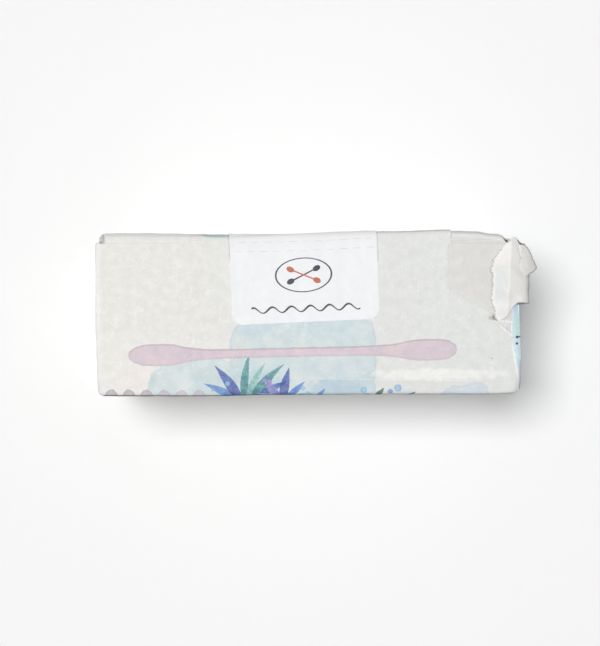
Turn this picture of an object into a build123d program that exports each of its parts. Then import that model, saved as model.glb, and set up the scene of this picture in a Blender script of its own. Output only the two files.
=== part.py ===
from build123d import *
import os
from math import radians, sqrt, tan

# Cotton swab refill pack: upright swabs wrapped in one sheet of printed paper, with folded ends,
# a lap along the back edge of the top, a closure label over that lap and one torn corner.
# The wrapped block can't be seen into, so it is one solid, and the label is the other piece.
# Frame: origin at the middle of the base, +X to the pack's right, +Y to its back, +Z up. Millimetres.

# Wrapped block
pack_width = 96.0
pack_depth = 36.0
pack_height = 78.0
back_bow = 1.0
front_bow = 0.3
top_crown = 0.7
side_edge_radius = 2.2
top_edge_radius = 1.3
base_edge_radius = 1.0

# Paper
ply = 0.3

# Lap along the back edge of the top, left and right of the label
lap_inset = 2.4
lap_fall = 1.3
lap_run_left = 30.0
lap_run_right = 15.9

# Shallow field over the tucked ply at the right of the top
tuck_depth = 0.2
tuck_reach_left = 12.4
tuck_reach_right = 17.6

# Folded ends: two tall flaps on each end, one over the other
flap_margin = 2.4
flap_slant = 45.0
flap_reach_under = 20.0
flap_reach_over = 21.5
flap_rise_under = 0.45
flap_rise_over = 0.95

# Pinched corner at the back left and sunken edge at the right
pinch_x = 2.2
pinch_y = 2.4
pinch_drop = 5.0
sink_start = 1.5
sink_inset = 2.0
sink_drop = 7.0

# Torn flap, measured in from the back right corner of the pack
tear_reach = 6.9
tear_front = 19.4
tear_mouth = 15.4
tear_back = 1.7
tear_thickness = 0.35
tear_lift = 0.1
tear_teeth = 17
tear_tooth_depth = 0.3
ridge_inset = 2.3
ridge_lift = 1.5
ear_reach = 1.6
ear_shoulder_drop = 1.7
ear_drop = 5.2
ear_foot_drop = 13.5
tip_reach = 3.7
tip_drop = 2.8
tip_front = 8.8
hole_size = 2.2
hole_depth = 3.0

# Closure label
label_width = 33.2
label_reach_top = 19.6
label_reach_back = 24.0
label_thickness = 0.2
label_corner_radius = 2.3
label_offset = -1.2
label_turn = 2.5

half_width = pack_width / 2
half_depth = pack_depth / 2
crown_radius = (half_depth**2 + top_crown**2) / (2 * top_crown)
spare = 6.0


def crown_height(y):
    """Height of the crowned top at a distance y from the middle of the pack."""
    return pack_height - crown_radius + sqrt(crown_radius**2 - y**2)


def from_corner(across, forward):
    """A point seen from above, measured in from the pack's back right corner."""
    return (half_width - across, half_depth - forward)


def plan_outline(grow):
    """Seen from above: straight ends, and a front and a back that belly out."""
    x, y = half_width + grow, half_depth + grow
    return make_face(
        [
            ThreePointArc((-x, -y), (0, -y - front_bow), (x, -y)),
            Line((x, -y), (x, y)),
            ThreePointArc((x, y), (0, y + back_bow), (-x, y)),
            Line((-x, y), (-x, -y)),
        ]
    )


def crown_profile(grow):
    """Seen from the end: a flat base and a top that is higher in the middle."""
    y = half_depth + back_bow + grow + spare
    radius = crown_radius + grow
    edge = pack_height - crown_radius + sqrt(radius**2 - y**2)
    outline = [
        Line((-y, -grow), (y, -grow)),
        Line((y, -grow), (y, edge)),
        ThreePointArc((y, edge), (0, pack_height + grow), (-y, edge)),
        Line((-y, edge), (-y, -grow)),
    ]
    return Plane.YZ * make_face(outline)


def packed_block(grow=0.0):
    """The wrapped bundle with its soft edges, grown all round by a thickness."""
    tower = Pos(0, 0, -grow) * extrude(plan_outline(grow), pack_height + spare)
    crown = extrude(crown_profile(grow), half_width + spare, both=True)
    block = tower & crown
    block = fillet(block.edges().filter_by(Axis.Z), side_edge_radius + grow)
    base = block.faces().sort_by(Axis.Z)[0]
    block = fillet(base.edges(), base_edge_radius + grow)
    top = block.faces().sort_by(Axis.Z)[-1]
    return fillet(top.edges(), top_edge_radius + grow)


def prism(points, low, high):
    """A straight prism over a closed outline of points seen from above."""
    face = make_face(Polyline(*points, close=True))
    return Pos(0, 0, low) * extrude(face, high - low)


def beyond_plane(a, b, c, outward):
    """A block that fills the side of a plane through three points to which outward points."""
    normal = (b - a).cross(c - a).normalized()
    if normal.dot(outward) < 0:
        normal = -normal
    size = 4 * pack_width
    return extrude(Plane(origin=a, z_dir=normal) * Rectangle(size, size), size)


def lap_cut(start, end):
    """What is missing beyond the free edge of the top ply: one ply of step, then the rolled edge."""
    a = Vector(start[0], start[1], crown_height(start[1]))
    b = Vector(end[0], end[1], crown_height(end[1]))
    along = (b - a).normalized()
    frame = Plane(origin=a, x_dir=Vector(0, 0, 1).cross(along), z_dir=along)
    reach = lap_inset + back_bow + spare
    fall = ply + lap_fall * reach / lap_inset
    low, high = (reach, frame.to_local_coords(a - Vector(0, 0, fall)).Y), (reach, spare)
    step = frame.to_local_coords(a - Vector(0, 0, ply)).Y
    up = spare if step < 0 else -spare
    outline = Polyline((0, up), (0, step), low, (reach, up), close=True)
    return extrude(frame * make_face(outline), (b - a).length)


def lap_cuts():
    """The two stretches of the back edge where the top ply stops short of it."""
    edge = half_depth - lap_inset
    left_end = (-half_width + lap_run_left, half_depth)
    left = lap_cut((-half_width - spare, edge - lap_inset * spare / lap_run_left), left_end)
    right = lap_cut((half_width - lap_run_right, edge), (half_width + spare, edge))
    return left + right


def tuck_field(block_below):
    """The field at the right where the top ply lies on a tucked ply and not on the swabs."""
    points = [
        from_corner(lap_run_right, lap_inset),
        from_corner(lap_run_right, tuck_reach_left),
        from_corner(tear_reach, tuck_reach_right),
        from_corner(0.6 * tear_reach, 0.5 * tuck_reach_right),
        from_corner(0.6 * tear_reach, lap_inset),
    ]
    return prism(points, pack_height - spare, pack_height + spare) - block_below


def pinched_corner():
    """The tucked-in corner at the back left, as what lies beyond a steep plane."""
    x, y = -half_width, half_depth
    top = crown_height(half_depth)
    a = Vector(x + pinch_x, y + back_bow, top)
    b = Vector(x + pinch_x, y - pinch_y, top)
    c = Vector(x, y - pinch_y, top - pinch_drop)
    return beyond_plane(a, b, c, Vector(-1, 1, 1))


def sunken_edge():
    """The right edge of the top, pressed in more and more towards the torn corner."""
    y = half_depth - tear_mouth
    a = Vector(half_width, -half_depth + sink_start, pack_height)
    b = Vector(half_width - sink_inset, y, pack_height)
    c = Vector(half_width, y, pack_height - sink_drop)
    return beyond_plane(a, b, c, Vector(1, 0, 1))


def end_flap(side, edge, reach, rise):
    """One tall end flap: hinged on the edge at y = edge, it rises towards its free edge."""
    inward = -1 if edge > 0 else 1
    near = edge + inward * flap_margin
    far = near + inward * reach
    root = side * (half_width - flap_margin)
    face = side * half_width
    wedge = prism([(root, near), (face, near), (face + side * rise, far), (root, far)], 0, pack_height)
    low, high = flap_margin, pack_height - top_crown - flap_margin
    slant = reach * tan(radians(flap_slant))
    outline = Polyline((near, low), (far, low + slant), (far, high - slant), (near, high), close=True)
    shape = extrude(Plane.YZ * make_face(outline), pack_width, both=True)
    return wedge & shape


def end_flaps(side):
    """Both tall flaps of one end, the front one over the back one."""
    under = end_flap(side, half_depth, flap_reach_under, flap_rise_under)
    over = end_flap(side, -half_depth, flap_reach_over, flap_rise_over)
    return under + over


def ragged(points, teeth, depth):
    """A torn edge through the points: a zigzag whose teeth are uneven in width and depth."""
    path = Spline(*points)
    edge = [path @ 0]
    for n in range(1, teeth):
        share = (n + 0.25 * (n % 3 - 1)) / teeth
        side = depth * (1 if n % 2 else -1) * (0.4 + 0.2 * (n * n % 4))
        tangent = path % share
        edge.append(path @ share + Vector(-tangent.Y, tangent.X) * side)
    return edge + [path @ 1]


def torn_outline():
    """The torn flap seen from above: ragged on the left, with a peak at the back and a straight mouth."""
    shares = [(0.4, 0.08), (0.79, 0.18), (0.91, 0.28), (1.0, 0.41), (0.93, 0.5), (0.97, 0.7), (0.77, 1.0)]
    guide = [from_corner(a * tear_reach, b * tear_front) for a, b in shares]
    torn_edge = ragged(guide, tear_teeth, tear_tooth_depth)
    front = [from_corner(0.5 * tear_reach, 0.94 * tear_front), from_corner(0.18 * tear_reach, tear_mouth)]
    end = [from_corner(-spare, tear_mouth), from_corner(-spare, tear_back)]
    peak = [from_corner(0, tear_back), from_corner(0.6 * ridge_inset, 0.15 * tear_back)]
    return torn_edge + front + end + peak


def tip_outline():
    """The tip that sticks out past the end, seen from above."""
    torn_edge = [(0, 1.0), (-0.45, 1.0), (-0.7, 0.96), (-1.0, 0.88), (-0.8, 0.6), (-0.36, 0.27), (0, 0.2)]
    inner = [from_corner(ridge_inset, tear_back), from_corner(ridge_inset, tip_front)]
    return [from_corner(a * tip_reach, b * tip_front) for a, b in torn_edge] + inner


def bent_sheet(points, outline):
    """Paper bent along the points, which are seen from the front, and torn to an outline from above."""
    back, front = half_depth, half_depth - tear_front
    fall = Vector(0, front - back, crown_height(front) - crown_height(back)).normalized()
    frame = Plane(origin=(half_width, back, crown_height(back)), x_dir=(1, 0, 0), z_dir=fall)
    bends = FilletPolyline(*points, radius=2 * tear_thickness)
    sheet = extrude(frame * trace(bends, tear_thickness), tear_front + spare)
    return sheet & prism(outline, 0, pack_height + spare)


def torn_flap():
    """The loose flap at the torn corner: foot on the top, a ridge, and an ear down over the end."""
    ear = [
        (-tear_reach - 2 * tear_tooth_depth, tear_lift),
        (-ridge_inset, ridge_lift),
        (ear_reach, -ear_shoulder_drop),
        (ear_reach, -ear_drop),
        (-tear_thickness, -ear_foot_drop),
    ]
    tip = [(-ridge_inset, ridge_lift), (0.5 * tip_reach, 0), (tip_reach + tear_thickness, -tip_drop)]
    return bent_sheet(ear, torn_outline()) + bent_sheet(tip, tip_outline())


def tear_hole():
    """The small dark hole where the tear ends, between the flap and the creased top."""
    x, y = from_corner(0.88 * tear_reach, 0.95 * tear_front)
    corners = [(x, y + 0.5 * hole_size), (x - 0.5 * hole_size, y), (x + 0.5 * hole_size, y - 0.4 * hole_size)]
    return prism(corners, pack_height - hole_depth, pack_height + spare)


def paper_wrapper():
    """The wrapped block with its laps, folded ends, pressed corners and tear, as one solid."""
    block = packed_block() - lap_cuts() - tuck_field(packed_block(-tuck_depth))
    block = block - pinched_corner() - sunken_edge() - tear_hole()
    return block + end_flaps(-1) + end_flaps(1) + torn_flap()


def label_strip(reach, place):
    """A long strip with rounded corners at one end, put in place and thick enough to cut with."""
    strip = RectangleRounded(label_width, reach + spare, label_corner_radius, align=(Align.CENTER, Align.MIN))
    return extrude(place * Pos(0, -reach) * strip, spare, both=True)


def closure_label():
    """The glued label: a thin turned strip over the top, bent round the back edge and down the back."""
    skin = packed_block(label_thickness) - packed_block()
    bend = (label_offset, half_depth, pack_height)
    on_top = label_strip(label_reach_top, Pos(*bend) * Rot(Z=label_turn))
    on_back = label_strip(label_reach_back, Pos(*bend) * Rot(X=90) * Rot(Z=-label_turn))
    return skin & (on_top + on_back)


os.makedirs("parts", exist_ok=True)
for name, shape in {"paper_wrapper": paper_wrapper(), "closure_label": closure_label()}.items():
    export_step(shape, f"parts/{name}.step")
    print(f"{name}: {len(shape.solids())} solid, {shape.volume / 1000:.2f} cm3")
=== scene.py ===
from bisect import bisect_right
from math import atan, copysign, cos, exp, hypot, pi, radians, sin, sqrt, tan

import bmesh
import bpy
from mathutils import Euler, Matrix, Vector, kdtree, noise
from mathutils.geometry import delaunay_2d_cdt


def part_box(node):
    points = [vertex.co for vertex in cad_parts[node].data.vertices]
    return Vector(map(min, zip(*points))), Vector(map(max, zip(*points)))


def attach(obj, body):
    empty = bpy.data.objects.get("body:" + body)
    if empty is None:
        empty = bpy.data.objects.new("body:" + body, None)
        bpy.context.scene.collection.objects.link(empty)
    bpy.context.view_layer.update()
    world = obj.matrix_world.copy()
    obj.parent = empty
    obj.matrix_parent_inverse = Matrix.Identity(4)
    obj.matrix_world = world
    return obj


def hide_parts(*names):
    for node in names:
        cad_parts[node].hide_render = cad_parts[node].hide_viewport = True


# Cotton swab refill pack, standing on its base with the labelled top up.
# Everything is worked out in millimetres, X to the pack's right, Y to its back, Z up, and made in metres.

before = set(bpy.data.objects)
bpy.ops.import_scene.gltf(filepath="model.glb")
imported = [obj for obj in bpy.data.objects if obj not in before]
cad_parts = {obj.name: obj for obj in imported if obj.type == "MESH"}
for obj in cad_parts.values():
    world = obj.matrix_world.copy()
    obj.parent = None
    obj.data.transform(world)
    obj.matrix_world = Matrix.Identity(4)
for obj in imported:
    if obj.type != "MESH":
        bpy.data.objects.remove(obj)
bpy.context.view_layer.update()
metre = 0.001
print("frame loaded")

labelThickness = 0.2
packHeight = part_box("closure_label")[1].z / metre - labelThickness
halfDepth = 18.0
endFlapRise = 0.95
halfWidth = -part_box("paper_wrapper")[0].x / metre - endFlapRise

photo = {                       # the photograph's frame, in pixels, and the pack's place in it
    "width": 600,
    "height": 646,
    "middleX": 308.0,           # the pixel that shows the middle of the top
    "middleY": 315.0,
    "pitch": 0.2258,            # millimetres of the top for each pixel
    "distance": 600.0,          # from the lens to the top
}


def fromPhoto(px, py):          # a pixel of the photograph as a place on the top
    return (px - photo["middleX"]) * photo["pitch"], (photo["middleY"] - py) * photo["pitch"]


def smoothLine(points):         # a smooth curve through a few points, as a function
    places, values = zip(*points)
    last = len(points) - 1

    def slope(i):
        before, after = max(i - 1, 0), min(i + 1, last)
        return (values[after] - values[before]) / (places[after] - places[before])

    def value(place):
        if place <= places[0]:
            return values[0]
        if place >= places[last]:
            return values[last]
        i = bisect_right(places, place) - 1
        span = places[i + 1] - places[i]
        t = (place - places[i]) / span
        rise = values[i + 1] - values[i]
        a, b = slope(i) * span - rise, rise - slope(i + 1) * span
        return values[i] + t * rise + t * (1 - t) * ((1 - t) * a + t * b)

    return value


def ease(low, high, value):     # 0 below low, 1 above high, smooth between
    t = min(max((value - low) / (high - low), 0.0), 1.0)
    return t * t * (3 - 2 * t)


def steps(start, end, pitch):   # evenly spaced places from start up to, but without, end
    count = max(1, round(abs(end - start) / pitch))
    return [start + (end - start) * i / count for i in range(count)]


block = {                       # millimetres
    "backEdge": [(-48, 18.75), (-36, 18.75), (-29, 18.65), (-18, 18.5), (0, 18.5), (15, 18.95), (22, 19.05),
                 (32, 19.4), (39, 19.15), (41, 18.8), (43.4, 18.6), (44.5, 18.25), (45.4, 17.3), (48, 16.8)],
    "frontEdge": [(-48, 18.35), (-24, 18.45), (-10, 18.2), (8, 18.05), (28, 18.0), (42, 17.95), (48, 17.75)],
    "leftEdge": [(-18, 47.5), (-14, 47.65), (-7, 47.85), (2, 48.1), (18, 48.1)],
    "rightEdge": [(-18, 48.0), (-7, 48.25), (3, 48.1), (18, 47.6)],
    "crown": 0.7,               # the top is this much higher in the middle
    "endFall": 0.25,
    "backRoll": 1.1,            # radii of the folded edges
    "frontRoll": 0.9,
    "baseRoll": 1.0,
    "endRollWidest": 2.4,
    "endStart": 42.0,           # from here outward the columns follow each end's own roll
    "foot": 18.1,               # the walls' places at the base
    "ply": 0.26,                # step at the free edge of the lap
    "lapFall": 0.36,            # how much the edge beyond the lap is rounded off
    "lapAtLeft": [(-48, 2.55), (-31, 2.45), (-26, 1.85), (-17, 1.5), (-6, 0.6), (16, -2.2), (32, -3.4)],
    # painted shade along the foot of the lap's step
    "lapShade": 0.16,
    "lapStep": 32.1,            # where the lap's tongue ends
    "lapStepEnd": 32.45,
    "lapAtRight": [(32.3, 2.7), (38, 2.2), (44, 1.3), (48, 1.0)],
}
backEdge, frontEdge = smoothLine(block["backEdge"]), smoothLine(block["frontEdge"])
leftEdge, rightEdge = smoothLine(block["leftEdge"]), smoothLine(block["rightEdge"])
lapAtLeft, lapAtRight = smoothLine(block["lapAtLeft"]), smoothLine(block["lapAtRight"])

# The sheet is measured as if unrolled: u runs along the width, and v from the front over the top to
# the back. On the top v is y, past 18 it runs down the back and past -18 down the front.
backFoot = halfDepth + packHeight
sheetEnd = backFoot + halfDepth


def lapLine(u):                 # v of the free edge of the outer ply
    change = ease(block["lapStep"], block["lapStepEnd"], u)
    return halfDepth - lapAtLeft(u) * (1 - change) - lapAtRight(u) * change


def topHeight(u, y):
    return packHeight - block["crown"] * (y / halfDepth) ** 2 - block["endFall"] * (u / halfWidth) ** 4


def sectionPoint(u, v):         # y and z of the closed section at u
    side = 1 if v > 0 else -1
    edge, roll = (backEdge(u), block["backRoll"]) if side > 0 else (frontEdge(u), block["frontRoll"])
    foot, base, along = block["foot"], block["baseRoll"], abs(v)
    if along <= halfDepth - roll:
        y = along / (halfDepth - roll) * (edge - roll)
        return side * y, topHeight(u, y)
    start = topHeight(u, edge - roll) - roll
    if along < halfDepth + roll:
        turn = (along - halfDepth + roll) / roll * pi / 4
        return side * (edge - roll + roll * sin(turn)), start + roll * cos(turn)
    if along <= backFoot - base:
        t = (along - halfDepth - roll) / (backFoot - base - halfDepth - roll)
        return side * (edge + (foot - edge) * ease(0, 1, min(1, t * 3))), start + (base - start) * t
    if along < backFoot + base:
        turn = (along - backFoot + base) / base * pi / 4
        return side * (foot - base + base * cos(turn)), base - base * sin(turn)
    return side * (foot - base) * (sheetEnd - along) / (sheetEnd - backFoot - base), 0.0


rows = {                        # how the section is divided, from the lap's edge round to itself, and its columns
    "outerEnd": 8.0,
    "outerCount": 44,
    "innerStart": 30.0,
    "innerCount": 56,
    "fineEnd": -4.4,
    "topPitch": 0.45,
    "finePitch": 0.24,          # round the small hole by the tear
    "turnPitch": (0.2, 0.36),   # round the front edge and round the base's edges
    "wallPitch": 1.2,
    "basePitch": 3.0,
    "fineX": 39.5,              # from here to the right end the columns are closer
    "columnPitch": (0.18, 0.7, 0.028, 0.5, 0.16),
}


def rowsFrom(places, pitches):  # places between a few given ones, each stretch at its own pitch
    return [v for start, end, pitch in zip(places, places[1:], pitches) for v in steps(start, end, pitch)]


frontTurn = halfDepth - block["frontRoll"] - 0.1
baseTurn = backFoot - block["baseRoll"] - 0.1
turnPitch, baseTurnPitch = rows["turnPitch"]
frontRows = rowsFrom(
    [rows["outerEnd"], rows["fineEnd"], -frontTurn, -frontTurn - 2, -baseTurn, -baseTurn - 2.2, -sheetEnd],
    [rows["finePitch"], rows["topPitch"], turnPitch, rows["wallPitch"], baseTurnPitch, rows["basePitch"]])
backRows = rowsFrom([sheetEnd, baseTurn + 2.2, baseTurn, rows["innerStart"]],
                    [rows["basePitch"], baseTurnPitch, rows["wallPitch"]])


def rowPlaces(u):               # (v, on the outer ply) of every row of the ring at u
    lap, outerEnd, innerStart = lapLine(u), rows["outerEnd"], rows["innerStart"]
    outer = [lap + (outerEnd - lap) * i / rows["outerCount"] for i in range(rows["outerCount"])]
    inner = [innerStart + (lap - innerStart) * i / rows["innerCount"] for i in range(rows["innerCount"] + 1)]
    return [(v, True) for v in outer + frontRows] + [(v, False) for v in backRows + inner]


endRoll = {                     # radius of the folded edge round each end, by v
    -1: smoothLine([(-114, 1.0), (-96, 1.2), (-30, 1.4), (-18, 1.4), (-14, 0.75), (-11, 0.55), (12, 0.55),
                    (20, 1.0), (96, 1.4), (114, 1.0)]),
    1: smoothLine([(-114, 1.0), (-96, 1.6), (-30, 2.2), (-19, 2.3), (-14, 1.2), (-9, 0.8), (12, 0.8),
                   (20, 1.4), (96, 1.6), (114, 1.0)]),
}


def columnPlaces():             # (kind, side, place) of every ring from the left end to the right
    cap = [1.0, 0.985, 0.965, 0.94, 0.91, 0.87, 0.82, 0.76, 0.69, 0.61, 0.52, 0.42, 0.31, 0.2, 0.1, 0.0]
    turn = [i / 7 for i in range(1, 8)]
    straight = halfWidth - block["endRollWidest"]
    places = [-straight, -block["endStart"], block["lapStep"], block["lapStepEnd"], rows["fineX"], straight]
    main = rowsFrom(places, rows["columnPitch"]) + [straight]
    left = [("cap", -1, k) for k in cap[:0:-1]] + [("roll", -1, t) for t in turn[::-1]]
    right = [("roll", 1, t) for t in turn] + [("cap", 1, k) for k in cap[1:]]
    return left + [("main", 0, u) for u in main] + right


def planePress(a, b, c, outward, softness):      # pushes what lies beyond a plane back onto it
    normal = (b - a).cross(c - a).normalized()
    normal *= 1 if normal.dot(outward) > 0 else -1

    def press(p):
        beyond = (p - a).dot(normal)
        kept = (beyond - sqrt(beyond * beyond + softness * softness)) / 2
        return p + normal * (kept - beyond)

    return press


corner = {                      # the pressed edges near the torn corner and the tuck at the back left
    "sinkStart": (48.0, -16.5),
    "sinkEnd": (46.0, 2.6),
    "sinkDrop": 1.55,
    "sinkSoftness": 0.12,
    "tuckX": -46.15,
    "tuckY": 16.15,
    "tuckDrop": 1.9,
    "tuckDepth": 2.2,           # from its front to the back edge
    "tuckNarrow": (0.5, 1.0),   # how much it is narrowed at the front and at the back
    # painted shade in the tuck
    "tuckShade": 0.42,
    "openingDepth": 2.2,
    "holeBack": 5.0,            # the small hole is before this, the gaps behind it
    "holeDepth": 0.48,
    # painted shade in the small hole; the gaps get full painted shade
    "holeShade": 0.5,
}
sinkStart = Vector((*corner["sinkStart"], packHeight - 0.5))
sinkEnd = Vector((*corner["sinkEnd"], packHeight))
sinkFoot = Vector((halfWidth + 0.2, corner["sinkEnd"][1], packHeight - corner["sinkDrop"]))
pressRightEdge = planePress(sinkStart, sinkEnd, sinkFoot, Vector((1, 0, 1)), corner["sinkSoftness"])


def lineDistance(p, a, b):      # distance in plan from a stretch of line, and how far along it
    dx, dy = b[0] - a[0], b[1] - a[1]
    t = min(max(((p[0] - a[0]) * dx + (p[1] - a[1]) * dy) / (dx * dx + dy * dy), 0), 1)
    return hypot(p[0] - a[0] - t * dx, p[1] - a[1] - t * dy), t


def chainDistance(p, line):     # distance in plan from a line of several stretches
    return min(lineDistance(p, a, b)[0] for a, b in zip(line, line[1:]))


def insideBy(p, corners):       # how far inside a convex outline p lies, less than 0 outside
    depth = 1e9
    for (ax, ay), (bx, by) in zip(corners, corners[1:] + corners[:1]):
        depth = min(depth, ((bx - ax) * (p[1] - ay) - (by - ay) * (p[0] - ax)) / hypot(bx - ax, by - ay))
    return depth


def leftTurning(outline):       # the same outline, walked round to the left
    area = sum(a[0] * b[1] - b[0] * a[1] for a, b in zip(outline, outline[1:] + outline[:1]))
    return outline if area >= 0 else outline[::-1]


openings = [                    # pixels: the small hole, and the gaps beside the flap's peak, both pressed down and given painted shade
    [(492.9, 313.6), (493.0, 318.6), (497.4, 321.8)],
    [(502.9, 233.0), (503.8, 237.4), (507.2, 242.2), (512.5, 241.4), (513.5, 233.0)],
    [(515.0, 236.0), (516.0, 241.6), (523.5, 246.5), (526.0, 240.0)],
]
openings = [leftTurning([fromPhoto(*place) for place in outline]) for outline in openings]
creases = [                     # pixels: from, to, then height and half width in millimetres
    ((495, 320.3), (512.5, 336.5), 0.36, 0.6),
    ((497, 320.5), (513, 323), 0.26, 0.5),
    ((450, 290), (492, 313), 0.05, 0.7),
    ((174, 243), (176, 312), 0.05, 1.3),
    ((310, 378), (470, 381), 0.07, 0.6),
]


def creaseLift(x, y):           # the sharp folds in the top
    lift = 0.0
    for start, end, height, width in creases:
        distance, t = lineDistance((x, y), fromPhoto(*start), fromPhoto(*end))
        lift += height * max(0.0, 1 - distance / width) ** 1.3 * (1 - 0.35 * t)
    return lift


tuck = {                        # the smoother field at the right, one ply lower
    "corners": [(450, 243), (450, 290), (492, 313), (520, 313), (520, 243)],
    "drop": 0.16,
    "blend": 0.22,
}
tuckCorners = [fromPhoto(*place) for place in tuck["corners"]]


def roughness(p, scale, seed):  # smooth noise of about -1 to 1
    return noise.noise(Vector((p.x / scale + seed, p.y / scale - seed, p.z / scale + 2.7 * seed)))


relief = {                      # millimetres
    "waves": [(0.2, 24.0, 3.1), (0.1, 8.0, 7.7), (0.03, 2.6, 5.5)],     # height, pitch and seed
    "creases": 0.14,
    "creasePitch": 13.0,
    "calmEdges": 0.65,          # the folded edges are this much straighter
    "ribs": 0.1,                # the swabs behind the walls
    "ribPitch": 5.1,
    "ribZone": 11.0,            # how far the swabs' heads reach from the top and the base
    "heads": 0.04,              # the swabs' ends under the top
    "headPitch": 4.6,
}


def swabRibs(p, n):             # upright ribs on the walls, strongest at the swabs' heads
    along = p.x * abs(n.y) + p.y * abs(n.x)
    wander = 1.3 * noise.noise(Vector((along / 30, p.z / 40, 4.0)))
    wave = cos(2 * pi * (along / relief["ribPitch"] + wander))
    near = min(packHeight - p.z, p.z)
    zone = exp(-((near - 6) / relief["ribZone"]) ** 2)
    return relief["ribs"] * wave * (0.35 + 0.65 * zone) * (1 - abs(n.z)) * ease(0, 3, near)


def swabEnds(p):                # a loose honeycomb of soft bumps on the top
    wander = 0.8 * noise.noise(Vector((p.x / 15, p.y / 15, 8.0)))
    waves = [cos(2 * pi * ((p.x * cos(turn) + p.y * sin(turn)) / relief["headPitch"] + wander))
             for turn in (0, pi / 3, 2 * pi / 3)]
    return relief["heads"] * sum(waves) / 3


def reliefAt(p, n):             # how far the paper stands off its plain form
    height = sum(high * roughness(p, pitch, seed) for high, pitch, seed in relief["waves"])
    height += relief["creases"] * (0.35 - min(0.35, abs(roughness(p, relief["creasePitch"], 11.3))))
    height += swabRibs(p, n) + (swabEnds(p) if n.z > 0.7 else 0)
    nearEdge = ease(halfDepth - 2.6, halfDepth - 0.8, abs(p.y)) * ease(packHeight - 9, packHeight - 2, p.z)
    height *= 1 - relief["calmEdges"] * nearEdge
    return height * (ease(0.0, 3.0, p.z) if n.z < -0.3 or p.z < 3 else 1)


def plainPlace(column, v, u):   # the block's plain form
    kind, side, place = column
    if kind == "main":
        widest, start = halfWidth - block["endRollWidest"], block["endStart"]
        if abs(u) > start:
            nearSide = 1 if u > 0 else -1
            reach = halfWidth - endRoll[nearSide](v)
            u = nearSide * (start + (abs(u) - start) * (reach - start) / (widest - start))
        return Vector((u, *sectionPoint(u, v)))
    roll = endRoll[side](v)
    edge = halfWidth - roll
    (y, z), (y1, z1), (y0, z0) = [sectionPoint(side * edge, v + move) for move in (0, 0.05, -0.05)]
    inward = Vector((0, z1 - z0, y0 - y1)).normalized()
    turn = place * pi / 2 if kind == "roll" else pi / 2
    point = Vector((side * (edge + roll * sin(turn)), y, z)) + inward * roll * (1 - cos(turn))
    if kind == "cap":
        centre = Vector((side * halfWidth, 0, packHeight / 2))
        point = centre + (point - centre) * place
    return point


def shapeEnds(p):               # the ends aren't quite square to the sides
    edge = rightEdge(p.y) if p.x > 0 else leftEdge(p.y)
    weight = ease(30, 46, abs(p.x))
    p.x *= 1 + (edge / halfWidth - 1) * weight * ease(packHeight - 30, packHeight - 2, p.z)
    return p


def openingAt(p):               # 1 in an opening, 0 elsewhere
    if p.x < 30 or p.z < packHeight - 3:
        return 0.0
    return ease(-0.1, 0.12, max(insideBy((p.x, p.y), outline) for outline in openings))


def tuckAt(p):                  # 1 in the tuck at the back left corner
    if p.x > -42 or p.z < packHeight - 12:
        return 0.0
    return ease(0.0, 0.16, corner["tuckX"] - p.x) * ease(0.0, 0.16, p.y - corner["tuckY"])


def shadeAt(p, v, outer, lap):  # painted shade in the openings, in the tuck and along the foot of the lap
    foot = (1 - ease(0.0, 0.3, v - lap)) * ease(0.2, 0.7, halfDepth - lap)
    foot = 0.0 if outer else block["lapShade"] * foot
    opening = (corner["holeShade"] if p.y < corner["holeBack"] else 1.0) * openingAt(p)
    return max(opening, corner["tuckShade"] * tuckAt(p), foot)


def pressedPlace(p, n):         # the folds, presses and the openings
    if p.x > 40 and p.z > packHeight - 20:
        p = pressRightEdge(p)
    if n.z > 0.5:
        p.z += creaseLift(p.x, p.y)
        p.z -= tuck["drop"] * ease(-tuck["blend"], tuck["blend"], insideBy((p.x, p.y), tuckCorners))
        p.z -= corner["holeDepth" if p.y < corner["holeBack"] else "openingDepth"] * openingAt(p)
    inTuck = tuckAt(p)
    front, back = corner["tuckNarrow"]
    share = min(max((p.y - corner["tuckY"]) / corner["tuckDepth"], 0.0), 1.0)
    p.x += (corner["tuckX"] - p.x) * inTuck * (front + (back - front) * share)
    p.z -= corner["tuckDrop"] * inTuck
    return p


def plySink(u, v, outer):       # how far a row lies below the outer ply
    if outer:
        return 0.0
    lap = lapLine(u)
    atEdge = max(0.0, 1 - abs(v - halfDepth) / 1.5)
    fall = block["lapFall"] * atEdge * ease(0.2, 1.4, halfDepth - lap)
    return block["ply"] * (1 - ease(6, 14, v - lap)) + fall


def sheetBeyond(kind, side, place, v):  # u of a place round an end's folded edge or on the end
    roll = endRoll[side](v)
    if kind == "roll":
        return halfWidth - roll + roll * place * pi / 2
    y, z = sectionPoint(side * (halfWidth - roll), v)
    return halfWidth + roll * (pi / 2 - 1) + (1 - place) * hypot(y, z - packHeight / 2)


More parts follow.
